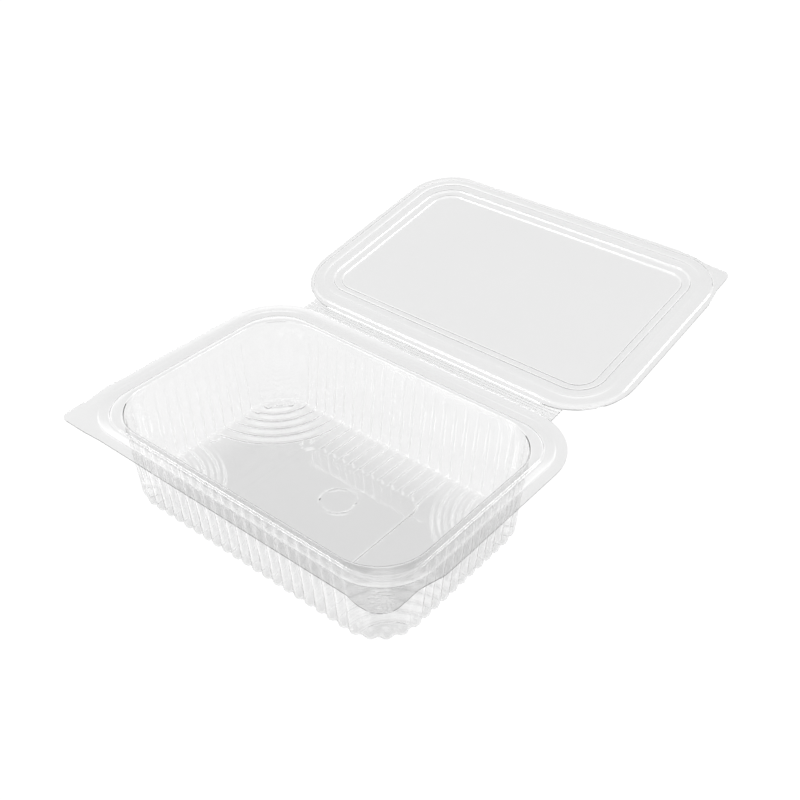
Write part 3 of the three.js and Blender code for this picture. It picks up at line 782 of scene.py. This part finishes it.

# %% [markdown]
# ## The table
#
# Clear plastic shows only what is round it. The table is a sheet of opal acrylic lit from below, as
# photographers use for clear things, so it is white. A lit table takes no shadow, so its light is dimmed
# a little under the tray, where the sheets would shade it: a painted shade. In front of the tray and on
# its right a strip of the light is stronger, a painted light, because the walls there are seen through
# their outside and need it to stay pale. All of this is one sum for how strongly each place of the table
# glows.

# %% The table
TABLE_SIZE = 3.0
TABLE_GAP = 0.12
TABLE_COLOUR = "#404040"
TABLE_LIGHT = "#ffffff"
TABLE_ROUGHNESS = 0.9
TABLE_SHINE = 0.1
bpy.ops.mesh.primitive_plane_add(size=TABLE_SIZE, location=(0, 0, -TABLE_GAP * MM))
table = bpy.context.object
table.name = "table"
table_acrylic = bpy.data.materials.new("backlit_acrylic_painted_shade_and_light")
table_acrylic.use_nodes = True
table_tree = table_acrylic.node_tree
table_shader = table_tree.nodes["Principled BSDF"]
table_shader.inputs["Base Color"].default_value = linear_colour(TABLE_COLOUR)
table_shader.inputs["Emission Color"].default_value = linear_colour(TABLE_LIGHT)
table_shader.inputs["Roughness"].default_value = TABLE_ROUGHNESS
table_shader.inputs["Specular IOR Level"].default_value = TABLE_SHINE
table.data.materials.append(table_acrylic)
print("table", TABLE_SIZE, "m wide")

# %% The painted shade under the tray
FOOT_HALF = (79.0, 52.0)
FOOT_SHADE = 0.13
SHADE_FADE = 25.0
table_place = add_node(table_tree, "ShaderNodeTexCoord").outputs["Object"]
table_unsigned = add_node(table_tree, "ShaderNodeVectorMath", {0: table_place}, operation="ABSOLUTE")
foot_half = (FOOT_HALF[0] * MM, FOOT_HALF[1] * MM, 0.0)
less_foot = {0: table_unsigned, 1: foot_half}
past_foot = add_node(table_tree, "ShaderNodeVectorMath", less_foot, operation="SUBTRACT")
past_sides = add_node(table_tree, "ShaderNodeSeparateXYZ", {0: past_foot}).outputs
both_sides = {0: past_sides["X"], 1: past_sides["Y"]}
past_edge = add_node(table_tree, "ShaderNodeMath", both_sides, operation="MAXIMUM")
shade_side = {"Value": past_edge, "From Min": -SHADE_FADE * MM, "From Max": 0.0}
shade_side["To Min"] = 1.0 - FOOT_SHADE
shade_side["To Max"] = 1.0
# Painted shade: the table glows less inside the tray's foot, and the shade fades out towards the foot's
# edge.
painted_table_glow = add_node(table_tree, "ShaderNodeMapRange", shade_side, interpolation_type="SMOOTHSTEP")
print("light under the tray", 1.0 - FOOT_SHADE)

# %% Two painted strips of stronger light, in front of the tray and on its right
GLOW_RISE = 8.0
GLOW_FALL = (25.0, 40.0)
PAINTED_FRONT_LIGHT = 0.6
PAINTED_RIGHT_LIGHT = 0.25
sides = add_node(table_tree, "ShaderNodeSeparateXYZ", {0: table_place}).outputs
in_front = add_node(table_tree, "ShaderNodeMath", {0: -foot_half[1], 1: sides["Y"]}, operation="SUBTRACT")
to_right = add_node(table_tree, "ShaderNodeMath", {0: sides["X"], 1: foot_half[0]}, operation="SUBTRACT")
# Painted light: each strip adds light to the table in a band beside the tray's foot.
for distance, added in [(in_front, PAINTED_FRONT_LIGHT), (to_right, PAINTED_RIGHT_LIGHT)]:
    rise = {"Value": distance, "From Max": GLOW_RISE * MM, "To Max": added}
    risen = add_node(table_tree, "ShaderNodeMapRange", rise, interpolation_type="SMOOTHSTEP")
    fall = {"Value": distance, "From Min": GLOW_FALL[0] * MM, "From Max": GLOW_FALL[1] * MM, **FALLING}
    fallen = add_node(table_tree, "ShaderNodeMapRange", fall, interpolation_type="SMOOTHSTEP")
    strip = add_node(table_tree, "ShaderNodeMath", {0: risen, 1: fallen}, operation="MULTIPLY")
    painted_table_glow = add_node(table_tree, "ShaderNodeMath", {0: painted_table_glow, 1: strip}, operation="ADD")
table_tree.links.new(painted_table_glow.outputs[0], table_shader.inputs["Emission Strength"])
print("light added in front", PAINTED_FRONT_LIGHT, "and on the right", PAINTED_RIGHT_LIGHT)

# %% [markdown]
# ## The room
#
# An evenly bright room would leave a clear sheet without form. This one changes with height alone, as a
# ramp does: a bright band low down, dim at middle heights and bright overhead. Level parts mirror the
# dim heights and hide a little of the table, and each further layer hides a little more. Upright walls
# and the bends mirror the bright parts, and that draws them.

# %% The room: stops of brightness from the horizon to overhead
ROOM_STOPS = [(0.3, 0.95), (0.38, 1.7), (0.46, 1.7), (0.6, 0.45), (0.7, 0.2), (0.86, 0.2), (0.96, 1.8)]
ROOM_BRIGHTEST = max(brightness for _, brightness in ROOM_STOPS)
world = bpy.data.worlds.new("light_tent")
bpy.context.scene.world = world
world.use_nodes = True
room_tree = world.node_tree
room = room_tree.nodes["Background"]
direction = add_node(room_tree, "ShaderNodeTexCoord").outputs["Generated"]
height = add_node(room_tree, "ShaderNodeSeparateXYZ", {0: direction}).outputs["Z"]
ramp = add_node(room_tree, "ShaderNodeValToRGB", {"Fac": height})
ramp.color_ramp.interpolation = "EASE"
stops = ramp.color_ramp.elements
while len(stops) < len(ROOM_STOPS):
    stops.new(1.0)
for stop, (place_up, brightness) in zip(stops, ROOM_STOPS):
    stop.position = place_up
    stop.color = (brightness / ROOM_BRIGHTEST,) * 3 + (1.0,)
room_tree.links.new(ramp.outputs[0], room.inputs["Color"])
room.inputs["Strength"].default_value = ROOM_BRIGHTEST
bpy.context.scene.view_settings.view_transform = "Standard"
print("stops in the room", len(stops), "brightest", ROOM_BRIGHTEST)

# %% [markdown]
# ## The lamps
#
# Two soft lamps, one on each side, lay the thin white lines along the rim, the folds and the flutes. A
# wide lamp gives a soft line, and a small one would give hard dots.

# %% Soft lamps, for the white lines along the bends
LAMP_PLACES = {"lamp_left": (-0.75, -0.85, 0.9), "lamp_right": (0.85, 0.95, 0.75)}
LAMP_AIM = (0.0, 0.05, 0.02)
LAMP_SIZE = 0.6
LAMP_POWER = 6.0
for name, lamp_place in LAMP_PLACES.items():
    light = bpy.data.lights.new(name, "AREA")
    light.shape = "RECTANGLE"
    light.size = LAMP_SIZE
    light.size_y = LAMP_SIZE
    light.energy = LAMP_POWER
    lamp = bpy.data.objects.new(name, light)
    bpy.context.scene.collection.objects.link(lamp)
    lamp.location = lamp_place
    lamp.rotation_euler = (Vector(LAMP_AIM) - Vector(lamp_place)).to_track_quat("-Z", "Y").to_euler()
print("lamps", list(LAMP_PLACES), LAMP_POWER, "W each")

# %% [markdown]
# ## The camera
#
# The camera stands where a fit of the lip, the foot and the lid to the photograph puts it. Two angles,
# a roll and a distance say that more plainly than a matrix, so the matrix is made from them.

# %% The camera, as in the photograph
CAMERA_AZIMUTH = math.radians(38.83)
CAMERA_ELEVATION = math.radians(36.13)
CAMERA_ROLL = math.radians(0.66)
CAMERA_DISTANCE = 470.62
CAMERA_SHIFT = (33.3, 11.83)
LENS_LENGTH = 48.85
SENSOR_WIDTH = 36.0
NEAREST_SEEN = 0.01
back = Vector((
    math.sin(CAMERA_AZIMUTH) * math.cos(CAMERA_ELEVATION),
    -math.cos(CAMERA_AZIMUTH) * math.cos(CAMERA_ELEVATION),
    math.sin(CAMERA_ELEVATION),
))
right = Vector((math.cos(CAMERA_AZIMUTH), math.sin(CAMERA_AZIMUTH), 0))
up = back.cross(right)
rolled_right = right * math.cos(CAMERA_ROLL) + up * math.sin(CAMERA_ROLL)
rolled_up = up * math.cos(CAMERA_ROLL) - right * math.sin(CAMERA_ROLL)
aim = right * CAMERA_SHIFT[0] + up * CAMERA_SHIFT[1] + Vector((0, 0, LIP_Z))
eye = (aim + back * CAMERA_DISTANCE) * MM
lens = bpy.data.cameras.new("camera")
lens.lens = LENS_LENGTH
lens.sensor_width = SENSOR_WIDTH
lens.clip_start = NEAREST_SEEN
camera = bpy.data.objects.new("camera", lens)
bpy.context.scene.collection.objects.link(camera)
camera.matrix_world = Matrix((
    (rolled_right.x, rolled_up.x, back.x, eye.x),
    (rolled_right.y, rolled_up.y, back.y, eye.y),
    (rolled_right.z, rolled_up.z, back.z, eye.z),
    (0, 0, 0, 1),
))
bpy.context.scene.camera = camera
print("camera at", [round(value, 4) for value in eye])
